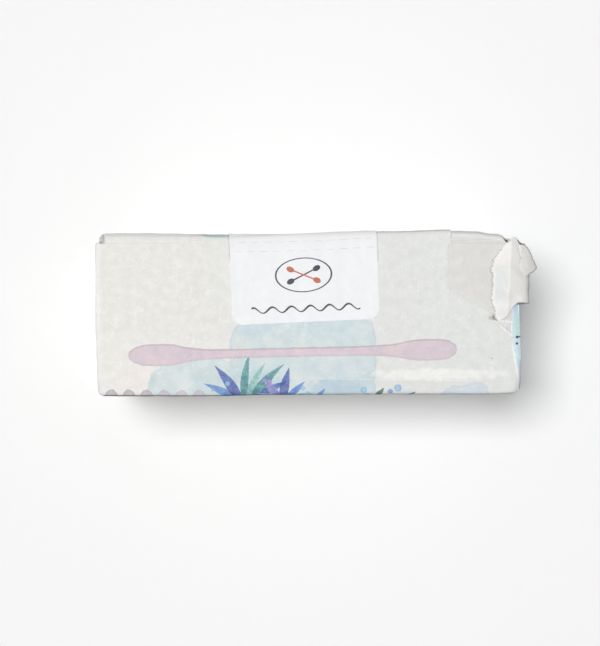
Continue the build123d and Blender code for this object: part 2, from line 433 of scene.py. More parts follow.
def buildBlock():
    columns = columnPlaces()
    rings, plain = [], []
    for kind, side, place in columns:
        u = place if kind == "main" else side * halfWidth
        rings.append((u, rowPlaces(u)))
        plain.append([shapeEnds(plainPlace((kind, side, place), v, u)) for v, outer in rings[-1][1]])
    last = len(plain[0]) - 1
    vertices, sheet, dark, faces = [], [], [], []
    for c, (kind, side, place) in enumerate(columns):
        before, after = plain[max(c - 1, 0)], plain[min(c + 1, len(plain) - 1)]
        u, ring = rings[c]
        for r, (v, outer) in enumerate(ring):
            p = plain[c][r]
            n = (after[r] - before[r]).cross(plain[c][min(r + 1, last)] - plain[c][max(r - 1, 0)])
            n = n.normalized() if n.length >= 1e-9 else Vector((side, 0, 0))
            if n.dot(p - Vector((p.x * 0.9, 0, packHeight / 2))) < 0:
                n = -n
            moved = p + n * (reliefAt(p, n) - plySink(u, v, outer))
            dark.append(shadeAt(moved, v, outer, lapLine(u)))
            vertices.append(pressedPlace(moved, n) * metre)
            sheet.append((p.x if kind == "main" else side * sheetBeyond(kind, side, place, v), v))
    count = last + 1
    for c in range(0, (len(plain) - 1) * count, count):
        for r in range(count):
            beside = (r + 1) % count
            faces.append((c + r, c + beside, c + count + beside, c + count + r))
    return vertices, faces, sheet, dark


def link(name, data):           # a new object in the scene
    piece = bpy.data.objects.new(name, data)
    bpy.context.scene.collection.objects.link(piece)
    return piece


def meshPiece(name, vertices, faces, sheet, dark=None, slot="wrapping_paper"):
    mesh = bpy.data.meshes.new(name)
    mesh.from_pydata([tuple(v) for v in vertices], [], faces)
    mesh.validate()
    layer = mesh.uv_layers.new(name="sheet")
    for loop in mesh.loops:
        u, v = sheet[loop.vertex_index]
        layer.data[loop.index].uv = (u / 100, v / 100)
    if dark:                    # painted shade at each place, or below 0 how much paler it is
        mesh.attributes.new("shade", "FLOAT", "POINT").data.foreach_set("value", dark)
    mesh.polygons.foreach_set("use_smooth", [True] * len(mesh.polygons))
    piece = link(name, mesh)
    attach(piece, "root")
    return piece


def makeBlock():
    piece = meshPiece("wrapped_block", *buildBlock())
    mesh = bmesh.new()
    mesh.from_mesh(piece.data)
    bmesh.ops.remove_doubles(mesh, verts=mesh.verts, dist=1e-6)
    bmesh.ops.recalc_face_normals(mesh, faces=mesh.faces)
    mesh.to_mesh(piece.data)
    mesh.free()
    piece.data.set_sharp_from_angle(angle=radians(55))
    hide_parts("paper_wrapper")
    return piece


wrappedBlock = makeBlock()
print("wrapped block", len(wrappedBlock.data.polygons), "faces")


def alongLine(points, pitch):   # places at a small pitch along an open line, without its last point
    places = []
    for a, b in zip(points, points[1:]):
        a, b = Vector(a), Vector(b)
        count = max(1, round((b - a).length / pitch))
        places += [a.lerp(b, i / count) for i in range(count)]
    return places


def tornLine(points, pitch, depth, seed):       # the same, torn: every place is moved a little
    places = alongLine(points, pitch)
    moved = []
    for i, p in enumerate(places):
        a, b = places[max(i - 1, 0)], places[min(i + 1, len(places) - 1)]
        across = Vector((b.y - a.y, a.x - b.x)).normalized()
        along = i * pitch
        jag = noise.noise(Vector((along / 0.7, seed, 0)))
        jag += 0.6 * noise.noise(Vector((along / 0.27, seed, 5)))
        moved.append(p + across * depth * jag * min(1, along, len(places) * pitch - along))
    return moved


def insideOutline(p, outline):
    inside = False
    for i, a in enumerate(outline):
        b = outline[i - 1]
        if (a.y > p.y) != (b.y > p.y) and p.x < (b.x - a.x) * (p.y - a.y) / (b.y - a.y) + a.x:
            inside = not inside
    return inside


def filledOutline(outline, pitch):      # flat triangles inside a closed outline
    outline = leftTurning(outline)
    near = kdtree.KDTree(len(outline))
    for i, p in enumerate(outline):
        near.insert((p.x, p.y, 0), i)
    near.balance()
    xs, ys = [p.x for p in outline], [p.y for p in outline]
    inner = []
    for row, y in enumerate(steps(min(ys), max(ys), pitch * 0.866)):
        for x in steps(min(xs), max(xs), pitch):
            p = Vector((x + pitch / 2 * (row % 2), y))
            if near.find((p.x, p.y, 0))[2] > 0.55 * pitch and insideOutline(p, outline):
                inner.append(p)
    edges = [(i, (i + 1) % len(outline)) for i in range(len(outline))]
    places, _, faces, *_ = delaunay_2d_cdt(outline + inner, edges, [], 1, 1e-7)
    return places, [tuple(face) for face in faces]


# A thin solid sheet. placeAt turns a flat place into a point of its upper face, sheetAt into its place on
# the print, and darkAt gives its painted shade.
def paperSheet(name, outline, pitch, placeAt, thickness, slot="wrapping_paper", sheetAt=None, darkAt=None):
    places, faces = filledOutline(outline, pitch)
    count = len(places)
    uppers, lowers = [], []
    for p in places:
        point = placeAt(p.x, p.y)
        n = (placeAt(p.x + 0.05, p.y) - point).cross(placeAt(p.x, p.y + 0.05) - point).normalized()
        uppers.append(point * metre)
        lowers.append((point - n * thickness) * metre)
    solid = faces + [tuple(i + count for i in face[::-1]) for face in faces]
    used = {edge for face in faces for edge in zip(face, face[1:] + face[:1])}
    solid += [(a + count, b + count, b, a) for a, b in sorted(used) if (b, a) not in used]
    sheet = [sheetAt(p.x, p.y) if sheetAt else (p.x, p.y) for p in places] * 2
    dark = [darkAt(p.x, p.y) for p in places] * 2 if darkAt else None
    piece = meshPiece(name, uppers + lowers, solid, sheet, dark, slot)
    piece.data.set_sharp_from_angle(angle=radians(50))
    return piece


label = {                       # millimetres
    "width": 33.2,
    "reachTop": 19.6,           # from the back edge towards the front
    "reachBack": 24.0,          # and down the back
    "radius": 2.3,
    "offset": -1.2,
    "turn": 2.5,                # degrees
    "thickness": 0.16,
    "gap": 0.04,
    "bridge": 1.6,              # it spans the lap's step over this length
    "edgeLift": 0.06,
}


def labelPlace(s, t):           # the label's own place, across and along, to a place just off the paper
    def plain(u, v):
        return shapeEnds(plainPlace(("main", 0, u), v, u))
    turn = radians(label["turn"])
    u = label["offset"] + s * cos(turn) - t * sin(turn)
    v = halfDepth + s * sin(turn) + t * cos(turn)
    edge = min(label["width"] / 2 - abs(s), t + label["reachTop"], label["reachBack"] - t)
    lift = label["thickness"] + label["gap"] + label["edgeLift"] * (1 - ease(0, 1.5, edge))
    p = plain(u, v)
    n = (plain(u + 0.1, v) - p).cross(plain(u, v + 0.1) - p).normalized()
    lap = lapLine(u)
    return p + n * (reliefAt(p, n) - plySink(u, v, False) * ease(lap, lap + label["bridge"], v) + lift)


def makeLabel():
    half, low, high, radius = label["width"] / 2, -label["reachTop"], label["reachBack"], label["radius"]
    outline = []
    for x, y, quarter in ((half, low, -1), (half, high, 0), (-half, high, 1), (-half, low, 2)):
        cx, cy = x - copysign(radius, x), y - copysign(radius, y)
        for i in range(9):
            turn = (quarter + i / 8) * pi / 2
            outline.append((cx + radius * cos(turn), cy + radius * sin(turn)))
    outline = alongLine(outline + outline[:1], 0.5)
    piece = paperSheet("closing_label", outline, 0.55, labelPlace, label["thickness"], "label_paper")
    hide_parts("closure_label")
    return piece


closingLabel = makeLabel()
print("label", len(closingLabel.data.polygons), "faces")

tear = {                        # the loose flap at the torn corner: pixels, then millimetres
    "tornEdge": [(512.6, 236.8), (509.4, 240.2), (506.8, 242.2), (504.2, 245.0), (499.6, 250.0),
                 (496.4, 255.6), (492.9, 260.2), (491.5, 265.6), (490.7, 270.6), (492.6, 275.6),
                 (491.8, 280.2), (492.7, 283.8), (491.6, 290.2), (491.1, 296.5), (491.8, 303.8),
                 (494.4, 311.1), (494.1, 315.0), (495.9, 318.6), (497.7, 321.1)],
    "lobe": [(497.7, 321.1), (501.8, 319.5), (506.4, 316.5), (510.9, 310.2), (513.4, 306.2), (515.5, 304.4)],
    "backEdge": [(524.6, 245.4), (522.0, 244.7), (519.2, 243.6), (516.8, 239.8), (515.4, 237.0),
                 (514.0, 236.6), (512.6, 236.8)],
    "ridge": [(507.0, 321.0), (508.6, 304.0), (509.1, 285.6), (511.4, 243.0)],
    "ridgeLift": [(-1.6, 0.35), (2.5, 1.0), (6.6, 1.35), (14.0, 1.5), (18.0, 1.1)],     # y, then lift
    "footLift": 0.42,
    "run": 4.3,                 # from the foot to the ridge
    "bendX": 45.7,              # where the bend beyond the ridge is drawn from
    "bendLift": 1.5,
    "bendBlend": 3.5,
    "mouthFall": 1.3,
    "mouthEdge": 0.5,
    "heading": [(0.0, -21), (3.2, -25), (3.9, -42), (4.8, -72), (5.6, -79), (8.6, -84), (9.8, -104),
                (16.8, -107)],      # along the bend, then degrees
    "mouth": [(0.6, 0.0), (4.0, 0.15), (8.0, 1.1), (16.4, 2.2)],        # along the bend, then back
    "earBack": [(16.4, 11.6), (9.0, 14.2), (5.0, 15.2)],
    "earShade": 0.1,            # painted shade on the turned-down part
    "thickness": 0.13,
    "crumple": 0.12,
    "crumplePitch": 3.0,
    "foldPitch": 4.6,
    "fold": 0.55,
    "jag": 0.62,
    # painted shadow along the torn edge, then its pale torn margin
    "rimDark": 0.6,
    "rimPale": 0.7,
    "turnedDark": 0.42,         # painted shade along the bend
    "pitch": 0.26,
}
ridgeFromY = smoothLine([fromPhoto(*place)[::-1] for place in tear["ridge"]])
ridgeLift = smoothLine(tear["ridgeLift"])
heading = smoothLine(tear["heading"])
bend = [(0.0, 0.0, 0.0)]        # along the flap from its ridge to the right: distance, x and height
while bend[-1][0] < 17:
    a, x, z = bend[-1]
    turn = radians(heading(a + 0.05))
    bend.append((a + 0.1, x + 0.1 * cos(turn), z + 0.1 * sin(turn)))


def bentPlace(a):
    i = min(int(a * 10), len(bend) - 2)
    share = a * 10 - i
    return [bend[i][k] + share * (bend[i + 1][k] - bend[i][k]) for k in (1, 2)]


def flapX(a, y):                # where a place on the flap lies from left to right, seen from above
    ridge = ridgeFromY(y)
    if a < 0:
        return ridge + a * cos(atan((ridgeLift(y) - tear["footLift"]) / tear["run"]))
    return ridge + bentPlace(a)[0] + (tear["bendX"] - ridge) * ease(0, tear["bendBlend"], a)


def flapAlong(px, py):          # a pixel to the flap's own place: distance from the ridge, and y
    x, y = fromPhoto(px, py)
    low, high = -6.0, 5.2
    for _ in range(30):
        middle = (low + high) / 2
        low, high = (middle, high) if flapX(middle, y) < x else (low, middle)
    return middle, y


flapLobe = [flapAlong(*place) for place in tear["lobe"]]
flapMouth = [(flapLobe[-1][0] + along, flapLobe[-1][1] + back) for along, back in tear["mouth"]]
flapTorn = tornLine([flapAlong(*place) for place in tear["tornEdge"]], 0.16, tear["jag"], 3.0)


def inMouth(a, y):              # 1 just inside the mouth, which is pressed down and given painted shade
    if a <= 0:
        return 0.0
    return (1 - ease(0.1, tear["mouthEdge"], chainDistance((a, y), flapMouth))) * (1 - 0.4 * ease(2, 5, a))


def flapShade(a, y):            # painted shade on the flap, or below 0 how pale it is
    if a < -0.5:                # painted shadow at the torn edge, then the paler torn margin
        away = chainDistance((a, y), flapTorn)
        margin = ease(0.12, 0.34, away) * (1 - ease(0.5, 0.95, away))
        return tear["rimDark"] * (1 - ease(0.03, 0.22, away)) - tear["rimPale"] * margin
    turned = tear["turnedDark"] * ease(4.2, 5.4, a) * (1 - ease(6.0, 7.0, a))
    ear = tear["earShade"] * ease(2.2, 2.8, a) * ease(7.5, 9.5, y)
    return max(inMouth(a, y), turned, ear)


def flapPlace(a, y):
    lift = ridgeLift(y)
    if a < 0:
        slope = atan((lift - tear["footLift"]) / tear["run"])
        height = lift + a * sin(slope) + 0.1 * sin(pi * min(1, -a / 4.6))
    else:
        bendLift = tear["bendLift"]
        height = bendLift + bentPlace(a)[1] + (lift - bendLift) * (1 - ease(0, tear["bendBlend"], a))
    x = flapX(a, y)
    p = Vector((a, y, 0))
    crumple = tear["crumple"] * roughness(p, tear["crumplePitch"], 2.2)
    folds = tear["fold"] * (0.3 - abs(roughness(p, tear["foldPitch"], 6.1)))
    away = (crumple + folds) * ease(0.0, 1.0, 5.2 + a)
    down = ease(3.0, 4.6, a)
    height -= tear["mouthFall"] * inMouth(a, y) * (1 - down)
    z = topHeight(min(x, 46), min(y, 17)) + height + away * (1 - down)
    return Vector((x + away * down, y, z))


def makeFlap():
    back = [flapAlong(*place) for place in tear["backEdge"]]
    outline = flapTorn + alongLine(flapLobe + flapMouth, 0.25)
    outline += tornLine([flapMouth[-1], *tear["earBack"], *back], 0.18, 0.12, 8.0)
    return paperSheet("torn_flap", outline, tear["pitch"], flapPlace, tear["thickness"], darkAt=flapShade)


tip = {                         # the torn tip beyond the end: pixels, then millimetres
    "tornEdge": [(515.6, 236.9), (518.0, 240.2), (520.6, 243.0), (525.4, 244.0), (529.4, 249.4),
                 (534.2, 258.8), (538.0, 267.2), (537.0, 269.6), (533.6, 272.2), (529.2, 274.4)],
    "inner": [(524.5, 277.0), (520.5, 268.0), (519.0, 256.0), (517.6, 247.0), (514.8, 241.0),
              (513.6, 237.0)],
    "gap": [(514.0, 235.0), (516.4, 241.0), (519.3, 244.9), (525.0, 245.0), (526.0, 238.0)],    # painted shade
    "startX": 47.9,
    "startLift": 0.78,
    "fall": 0.4,
    "fallInward": 0.85,
    "curve": 0.11,
    # painted shadow along the torn edge and in the gap, and a little painted light elsewhere
    "rimDark": 0.8,
    "gapDark": 0.9,
    "pale": -0.1,
}
tipGap = leftTurning([fromPhoto(*place) for place in tip["gap"]])
tipTorn = tornLine([fromPhoto(*place) for place in tip["tornEdge"]], 0.16, 0.24, 5.0)


def tipPlace(x, y):
    out = x - tip["startX"]
    fall = tip["fall"] * out + tip["curve"] * out * out if out > 0 else -tip["fallInward"] * out
    height = tip["startLift"] - fall
    p = Vector((x, y, 0))
    height += 0.22 * roughness(p, 3.0, 1.7) + 0.3 * (0.3 - abs(roughness(p, 4.2, 4.4)))
    return Vector((x, y, topHeight(46, min(y, 17)) + height))


def tipShade(x, y):
    away = chainDistance((x, y), tipTorn)
    rim = tip["rimDark"] * (1 - ease(0.05, 0.3, away))
    shade = max(rim, tip["gapDark"] * ease(-0.1, 0.1, insideBy((x, y), tipGap)))
    return shade if shade > 0 else tip["pale"]


def makeTip():
    outline = tipTorn + alongLine([fromPhoto(*place) for place in tip["inner"]], 0.3)
    return paperSheet("torn_tip", outline, 0.24, tipPlace, tear["thickness"], darkAt=tipShade)


tornFlap, tornTip = makeFlap(), makeTip()
print("torn flap", len(tornFlap.data.polygons) + len(tornTip.data.polygons), "faces")

endFlap = {                     # the tall folded flaps on both ends, millimetres
    "margin": 1.6,
    "foot": 2.6,
    "slant": 1.0,
    "thickness": 0.16,
    "hingeSink": 0.2,
    "under": {"hinge": 1, "reach": 20.0, "rise": 0.3},
    "over": {"hinge": -1, "reach": 21.5, "rise": 0.62},
}


def makeEndFlap(side, which):
    flap, sink = endFlap[which], endFlap["hingeSink"]
    hinge, reach = flap["hinge"], flap["reach"]
    low, high = endFlap["foot"], packHeight - block["crown"] - endFlap["foot"]
    fall = reach * endFlap["slant"]
    towards = -1 if side * hinge < 0 else 1     # keeps the sheet's upper face outward

    def placeAt(a, z):
        inward = towards * a    # from the hinge
        p = shapeEnds(Vector((side * halfWidth, hinge * (halfDepth - endFlap["margin"] - inward), z)))
        rise = (flap["rise"] + sink) * sqrt(max(0.0, inward / reach)) - sink
        rise += 0.06 * roughness(Vector((inward, z, side)), 7, 1.3)
        n = Vector((side, 0, 0))
        return p + n * (reliefAt(p, n) + rise)

    def sheetAt(a, z):
        return side * (halfWidth + 1 + towards * a), hinge * (backFoot - z)

    far = towards * reach
    outline = alongLine([(0, low), (far, low + fall), (far, high - fall), (0, high), (0, low)], 0.9)
    name = f"end_flap_{'left' if side < 0 else 'right'}_{which}"
    return paperSheet(name, outline, 1.0, placeAt, endFlap["thickness"], sheetAt=sheetAt)


endFlaps = [makeEndFlap(side, which) for side in (-1, 1) for which in ("under", "over")]
print("end flaps", sum(len(flap.data.polygons) for flap in endFlaps), "faces")


def placeCamera():
    lens = bpy.data.cameras.new("camera")
    lens.sensor_fit = "AUTO"
    lens.lens = lens.sensor_width * photo["distance"] / (photo["height"] * photo["pitch"])
    lens.clip_start, lens.clip_end = 0.01, 10
    camera = link("camera", lens)
    x, y = fromPhoto(photo["width"] / 2, photo["height"] / 2)
    camera.location = Vector((x, y, packHeight + photo["distance"])) * metre
    bpy.context.scene.camera = camera


placeCamera()


class Value:                    # what a node gives, so that sums with it are written as sums
    def __init__(self, socket):
        self.socket = socket
        self.tree = socket.id_data

    def __add__(self, other):
        return calc("ADD", self, other)

    def __sub__(self, other):
        return calc("SUBTRACT", self, other)

    def __rsub__(self, other):
        return calc("SUBTRACT", other, self)

    def __mul__(self, other):
        return calc("MULTIPLY", self, other)

    def __truediv__(self, other):
        return calc("DIVIDE", self, other)

    def __abs__(self):
        return calc("ABSOLUTE", self)


def addNode(tree, kind, inputs=None, **settings):
    node = tree.nodes.new(kind)
    for name, value in settings.items():
        setattr(node, name, value)
    for key, value in (inputs or {}).items():
        if isinstance(value, Value):
            tree.links.new(value.socket, node.inputs[key])
        else:
            node.inputs[key].default_value = value
    return node


def made(tree, kind, inputs=None, output=0, **settings):        # one output of a new node
    return Value(addNode(tree, kind, inputs, **settings).outputs[output])


def outputsOf(tree, kind, inputs=None, **settings):             # all of them
    return [Value(socket) for socket in addNode(tree, kind, inputs, **settings).outputs]


def isVector(value):
    return value.socket.type == "VECTOR" if isinstance(value, Value) else isinstance(value, tuple)


def treeOf(*values):
    return next(value.tree for value in values if isinstance(value, Value))


def calc(operation, *values):   # a Math node, or a Vector Math node where one of the values is a vector
    kind = "ShaderNodeVectorMath" if any(isVector(value) for value in values) else "ShaderNodeMath"
    output = int(operation in ("LENGTH", "DISTANCE", "DOT_PRODUCT"))
    return made(treeOf(*values), kind, dict(enumerate(values)), output, operation=operation)


def highest(one, other):
    return calc("MAXIMUM", one, other)


def scaled(vector, factor):
    inputs = {0: vector, "Scale": factor}
    return made(treeOf(vector, factor), "ShaderNodeVectorMath", inputs, operation="SCALE")


def clamped(value):             # kept from 0 to 1
    return made(value.tree, "ShaderNodeClamp", {0: value})


# A smooth step from low to high. It needs no clamp, and the node's own clamp takes so much of Cycles' room
# that a large material turns black.
def between(value, low, high, ends=(0.0, 1.0)):
    inputs = {"Value": value, "From Min": low, "From Max": high, "To Min": ends[0], "To Max": ends[1]}
    return made(value.tree, "ShaderNodeMapRange", inputs, interpolation_type="SMOOTHSTEP", clamp=False)


def noiseOn(place, scale, detail=2.0, harshness=0.5):
    inputs = {"Vector": place, "Scale": scale, "Detail": detail, "Roughness": harshness}
    return made(place.tree, "ShaderNodeTexNoise", inputs)


wobbles = {}


def wobbleOn(place, scale, detail=2.0, harshness=0.5):          # noise about 0, made once for each size
    key = (place.socket.as_pointer(), scale, detail, harshness)
    if key not in wobbles:
        wobbles[key] = noiseOn(place, scale, detail, harshness) - 0.5
    return wobbles[key]


def srgb(colour):               # a colour as it looks on screen, 0 to 255, for a shader
    def linear(value):
        value /= 255
        return value / 12.92 if value <= 0.04045 else ((value + 0.055) / 1.055) ** 2.4
    if isinstance(colour, Value) or len(colour) == 4:           # this is one already
        return colour
    return (*[linear(value) for value in colour], 1.0)


def mixColours(factor, under, over, blend="MIX"):
    inputs = {0: factor, 6: srgb(under), 7: srgb(over)}
    return made(factor.tree, "ShaderNodeMix", inputs, 2, data_type="RGBA", blend_type=blend)


def darker(colour, amount):     # multiplied by one less the amount
    return scaled(colour, 1.0 - amount)


def newMaterial(name):
    material = bpy.data.materials.new(name)
    material.use_nodes = True
    return material, material.node_tree, material.node_tree.nodes["Principled BSDF"]


def finishMaterial(surface, colour, roughness, height, strength, depth, specular):
    inputs = {"Height": height, "Strength": strength, "Distance": depth * metre}
    bump = made(colour.tree, "ShaderNodeBump", inputs)
    for name, value in (("Base Color", colour), ("Roughness", roughness), ("Normal", bump)):
        colour.tree.links.new(value.socket, surface.inputs[name])
    surface.inputs["Specular IOR Level"].default_value = specular


def newGroup(name, kind, inputs, outputs):      # a node group, and what comes into it
    group = bpy.data.node_groups.new(name, kind)
    for way, sockets in (("INPUT", inputs), ("OUTPUT", outputs)):
        for socket, sort in sockets.items():
            group.interface.new_socket(socket, in_out=way, socket_type="NodeSocket" + sort)
    return group, dict(zip(inputs, outputsOf(group, "NodeGroupInput")))


def closeGroup(group, *results):
    target = group.nodes.new("NodeGroupOutput").inputs
    for result, socket in zip(results, target):
        group.links.new(result.socket, socket)
    return group


def makeScatterGroup(name, shape):      # copies of a small piece along a line: a slit or a fibre
    sizes = dict.fromkeys(["Pitch", "Length", "Width", "Spread", "Smallest"], "Float")
    group, source = newGroup(name, "GeometryNodeTree",
                             {"Geometry": "Geometry", **sizes, "Seed": "Int", "Finish": "Material"},
                             {"Geometry": "Geometry"})
    line = made(group, "GeometryNodeMeshToCurve", {"Mesh": source["Geometry"]})
    inputs = {"Curve": line, "Length": source["Pitch"]}
    points, tangent = outputsOf(group, "GeometryNodeCurveToPoints", inputs, mode="LENGTH")[:2]
    if shape == "slit":
        inputs = {0: source["Length"], 1: source["Width"], 2: source["Width"]}
        piece = made(group, "GeometryNodeMeshCube", {"Size": made(group, "ShaderNodeCombineXYZ", inputs)})
    else:
        inputs = {"Vertices": 4, "Radius Bottom": source["Width"], "Depth": source["Length"]}
        piece = made(group, "GeometryNodeMeshCone", inputs)
    axis = "X" if shape == "slit" else "Z"
    straight = made(group, "FunctionNodeAlignRotationToVector", {"Vector": tangent}, axis=axis)
    inputs = {0: (-1, -1, -1), 1: (1, 1, 1), 8: source["Seed"]}
    turn = made(group, "FunctionNodeRandomValue", inputs, data_type="FLOAT_VECTOR")
    turn = made(group, "FunctionNodeEulerToRotation", {0: scaled(turn, source["Spread"])})
    inputs = {"Rotation": straight, "Rotate By": turn}
    rotation = made(group, "FunctionNodeRotateRotation", inputs, rotation_space="LOCAL")
    inputs = {2: source["Smallest"], 3: 1.0, 8: source["Seed"]}
    size = made(group, "FunctionNodeRandomValue", inputs, 1, data_type="FLOAT")
    inputs = {"Points": points, "Instance": piece, "Rotation": rotation, "Scale": size}
    copies = made(group, "GeometryNodeInstanceOnPoints", inputs)
    copies = made(group, "GeometryNodeRealizeInstances", {0: copies})
    copies = made(group, "GeometryNodeSetMaterial", {"Geometry": copies, "Material": source["Finish"]})
    return closeGroup(group, copies)


def scatterAlong(name, group, line, values):      # line: places in millimetres
    mesh = bpy.data.meshes.new(name + "_line")
    mesh.from_pydata([tuple(p * metre) for p in line], [(i, i + 1) for i in range(len(line) - 1)], [])
    piece = link(name, mesh)
    modifier = piece.modifiers.new("scatter", "NODES")
    modifier.node_group = group
    for item in group.interface.items_tree:
        if item.in_out == "INPUT" and item.name in values:
            modifier[item.identifier] = values[item.name]
    graph = bpy.context.evaluated_depsgraph_get()
    solid = bpy.data.meshes.new_from_object(piece.evaluated_get(graph))
    solid.name = name
    piece.modifiers.remove(modifier)
    piece.data = solid
    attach(piece, "root")


def plainFinish(name, colour):
    material, _, surface = newMaterial(name)
    surface.inputs["Base Color"].default_value = srgb(colour)
    surface.inputs["Roughness"].default_value = 0.9
    return material


perforation = {                 # two rows of short slits across the label, millimetres
    "rows": [((-13.7, -1.5), (15.4, -2.15)), ((-15.0, -3.5), (15.6, -4.15))],       # s and t, from and to
    "shadow": (212, 209, 217),
    "values": {"Pitch": 2.82 * metre, "Length": 1.9 * metre, "Width": 0.085 * metre, "Spread": 0.02,
               "Smallest": 0.7, "Seed": 4},
}
fibres = {                      # loose fibres along the torn edges
    "colour": (247, 245, 241),
    "values": {"Pitch": 0.09 * metre, "Length": 0.5 * metre, "Width": 0.022 * metre, "Spread": 1.3,
               "Smallest": 0.35, "Seed": 9},
}


def makePerforation():
    group = makeScatterGroup("slits_along", "slit")
    values = {**perforation["values"], "Finish": plainFinish("slit_shadow", perforation["shadow"])}
    for i, ends in enumerate(perforation["rows"]):
        line = [labelPlace(p.x, p.y) for p in alongLine(ends, 0.5)]
        scatterAlong(f"label_slits_{i + 1}", group, line, values)


def makeFibres():
    group = makeScatterGroup("fibres_along", "fibre")
    values = {**fibres["values"], "Finish": plainFinish("torn_fibres", fibres["colour"])}
    for name, torn, placeAt in (("flap_fibres", flapTorn, flapPlace), ("tip_fibres", tipTorn, tipPlace)):
        scatterAlong(name, group, [placeAt(p.x, p.y) for p in torn], values)


def sheetPlace(tree):           # the unrolled sheet in millimetres: vector, u and v
    place = scaled(made(tree, "ShaderNodeUVMap", uv_map="sheet"), 100)
    return place, *partsOf(place)[:2]


def partsOf(vector):
    return outputsOf(vector.tree, "ShaderNodeSeparateXYZ", {0: vector})


def turnedBy(place, angle):
    inputs = {"Vector": place, "Angle": angle}
    return made(place.tree, "ShaderNodeVectorRotate", inputs, rotation_type="Z_AXIS")


mottling = {                    # the paper's grain
    "flecks": [(0.1, 0.0), (0.9, 31.0), (1.75, 57.0)],          # turn and seed
    "fleckSize": (1.25, 0.42, 1),
    "creases": [(11.0, (0.34, 0.17, 1)), (73.0, (0.2, 0.26, 1))],       # seed and size
}


def paperGrain(place):          # light flecks and broken creases, slow patches and small bright specks
    total = None
    for turn, seed in mottling["flecks"]:
        moved = turnedBy(place + (seed, seed, 0), turn) * mottling["fleckSize"]
        fleck = between(noiseOn(moved, 1.0, 2.0, 0.45), 0.585, 0.64)
        total = highest(total, fleck) if total else fleck
    for seed, size in mottling["creases"]:
        moved = (place + (seed, -seed, 0)) * size
        crease = between(abs(noiseOn(moved, 1.0, 2.5, 0.55) - 0.5), 0.022, 0.004)
        broken = between(noiseOn(place + (seed, 5, 0), 0.3), 0.5, 0.6)
        total = highest(total, crease * broken * 0.8)
    patches = between(noiseOn(place, 0.55, 3.0, 0.6), 0.44, 0.56)
    where = between(noiseOn(place + (91, 17, 0), 0.22), 0.42, 0.6)
    total = total * (where * 0.6 + 0.4)
    specks = between(noiseOn(place + (7, 43, 0), 1.4, 1.0), 0.66, 0.74)
    return total, patches, specks


paper = {                       # colours as they look on screen, sizes in millimetres
    "left": (237, 236, 231),
    "right": (231, 233, 231),
    "warm": (243, 241, 236),
    "tuck": (226, 224, 220),
    "tuckCorner": (32.1, 5.6),
    "tuckSlant": 0.55,
    # painted light on the slope behind the lap at the right
    "strip": (238, 238, 234),
    "stripStart": 16.2,
    # painted shade colour
    "inside": (52, 48, 45),
    "fleck": (1.054, 1.044, 1.042, 1.0),        # how much lighter and warmer the flecks are
    "speckLight": 0.08,         # how much lighter the small specks are
    "patchDark": 0.024,         # how much darker the slow patches are
    "roughness": (0.47, 0.63),
    "grainBump": 0.05,
    "fibreBump": 0.012,
}

washes = {                      # soft fields of watery colour: millimetres, then light, deep and rim
    "main": {"centre": (-0.9, -17.0), "reach": (16.5, 17.4), "round": 6.5, "wobble": 1.6,
             "colours": [(224, 231, 231), (206, 223, 228), (200, 216, 224)]},
    "left": {"centre": (-25.2, -19.6), "reach": (11.8, 10.2), "round": 9.9, "wobble": 2.4,
             "colours": [(227, 234, 234), (205, 221, 223), (208, 222, 224)]},
    "right": {"centre": (35.6, -19.6), "reach": (5.4, 3.9), "round": 3.0, "wobble": 1.8,
              "colours": [(222, 228, 232), (211, 221, 230), (206, 217, 227)]},
    "back": {"centre": (-16.5, 22.0), "reach": (8.2, 5.4), "round": 4.4, "wobble": 2.0,
             "colours": [(206, 224, 222), (190, 216, 210), (176, 206, 200)]},
}
backStart = 17.15               # the back field stays behind this

pools = {                       # deeper colour without an edge: centre, radii, colour, strength
    "main": [((6.0, -17.2), (8.0, 3.6), (184, 208, 222), 0.7),
             ((-11.5, -2.6), (6.0, 3.0), (206, 222, 231), 0.6),
             ((-12.0, -16.5), (8.5, 5.5), (192, 219, 228), 0.8),
             ((-4.0, -11.0), (8.0, 2.6), (210, 226, 228), 0.5)],
    "outside": [((20.5, -17.8), (4.0, 2.2), (206, 219, 226), 0.5),
                ((-19.5, -18.0), (5.0, 3.5), (200, 219, 223), 0.6)],
    "blush": ((-38.5, -14.2), (6.5, 4.2), (243, 237, 234), 0.7),        # faint and warm, at the front left
}


def fieldDistance(place, wash):         # distance from a rounded field's edge, less than 0 inside
    (reachX, reachY), rounding = wash["reach"], wash["round"]
    away = abs(place - (*wash["centre"], 0)) - (reachX - rounding, reachY - rounding, 0)
    distance = calc("LENGTH", highest(away, (0, 0, 0))) - rounding
    return distance + wobbleOn(place, 0.16) * (wash["wobble"] * 2) + wobbleOn(place, 1.3, 3.0) * 0.7


def layWash(under, place, distance, colours, strength=1.0, rimWidth=0.9):
    light, deep, rim = colours
    fill = mixColours(between(wobbleOn(place, 0.17, 5.0, 0.6), -0.16, 0.16), light, deep)
    fill = mixColours(between(distance, -rimWidth, -0.12) * 0.6, fill, rim)
    return mixColours(between(distance, 0.12, -0.12) * strength, under, fill)


def layPool(under, place, centre, radii, colour, strength, within):
    distance = calc("LENGTH", (place - (*centre, 0)) / (*radii, 1))
    mask = between(distance + wobbleOn(place, 0.4, 4.0, 0.6) * 1.6, 1.05, 0.45)
    return mixColours(mask * strength * within, under, colour)


swabPrint = {                   # millimetres on the sheet, and the half width along it
    "start": (-40.65, -8.95),
    "end": (33.65, -7.75),
    "widest": 2.6,
    "curve": [(0, 0), (0.008, 0.42), (0.03, 0.74), (0.07, 0.92), (0.11, 0.93), (0.16, 0.74), (0.21, 0.52),
              (0.27, 0.42), (0.5, 0.405), (0.72, 0.44), (0.79, 0.52), (0.86, 0.83), (0.91, 0.935),
              (0.95, 0.9), (0.985, 0.6), (1.0, 0)],
    "colours": [(227, 211, 216), (216, 203, 212), (202, 189, 199)],
    "rimWidth": 0.55,
    "upperDark": 0.14,          # along its back edge
}


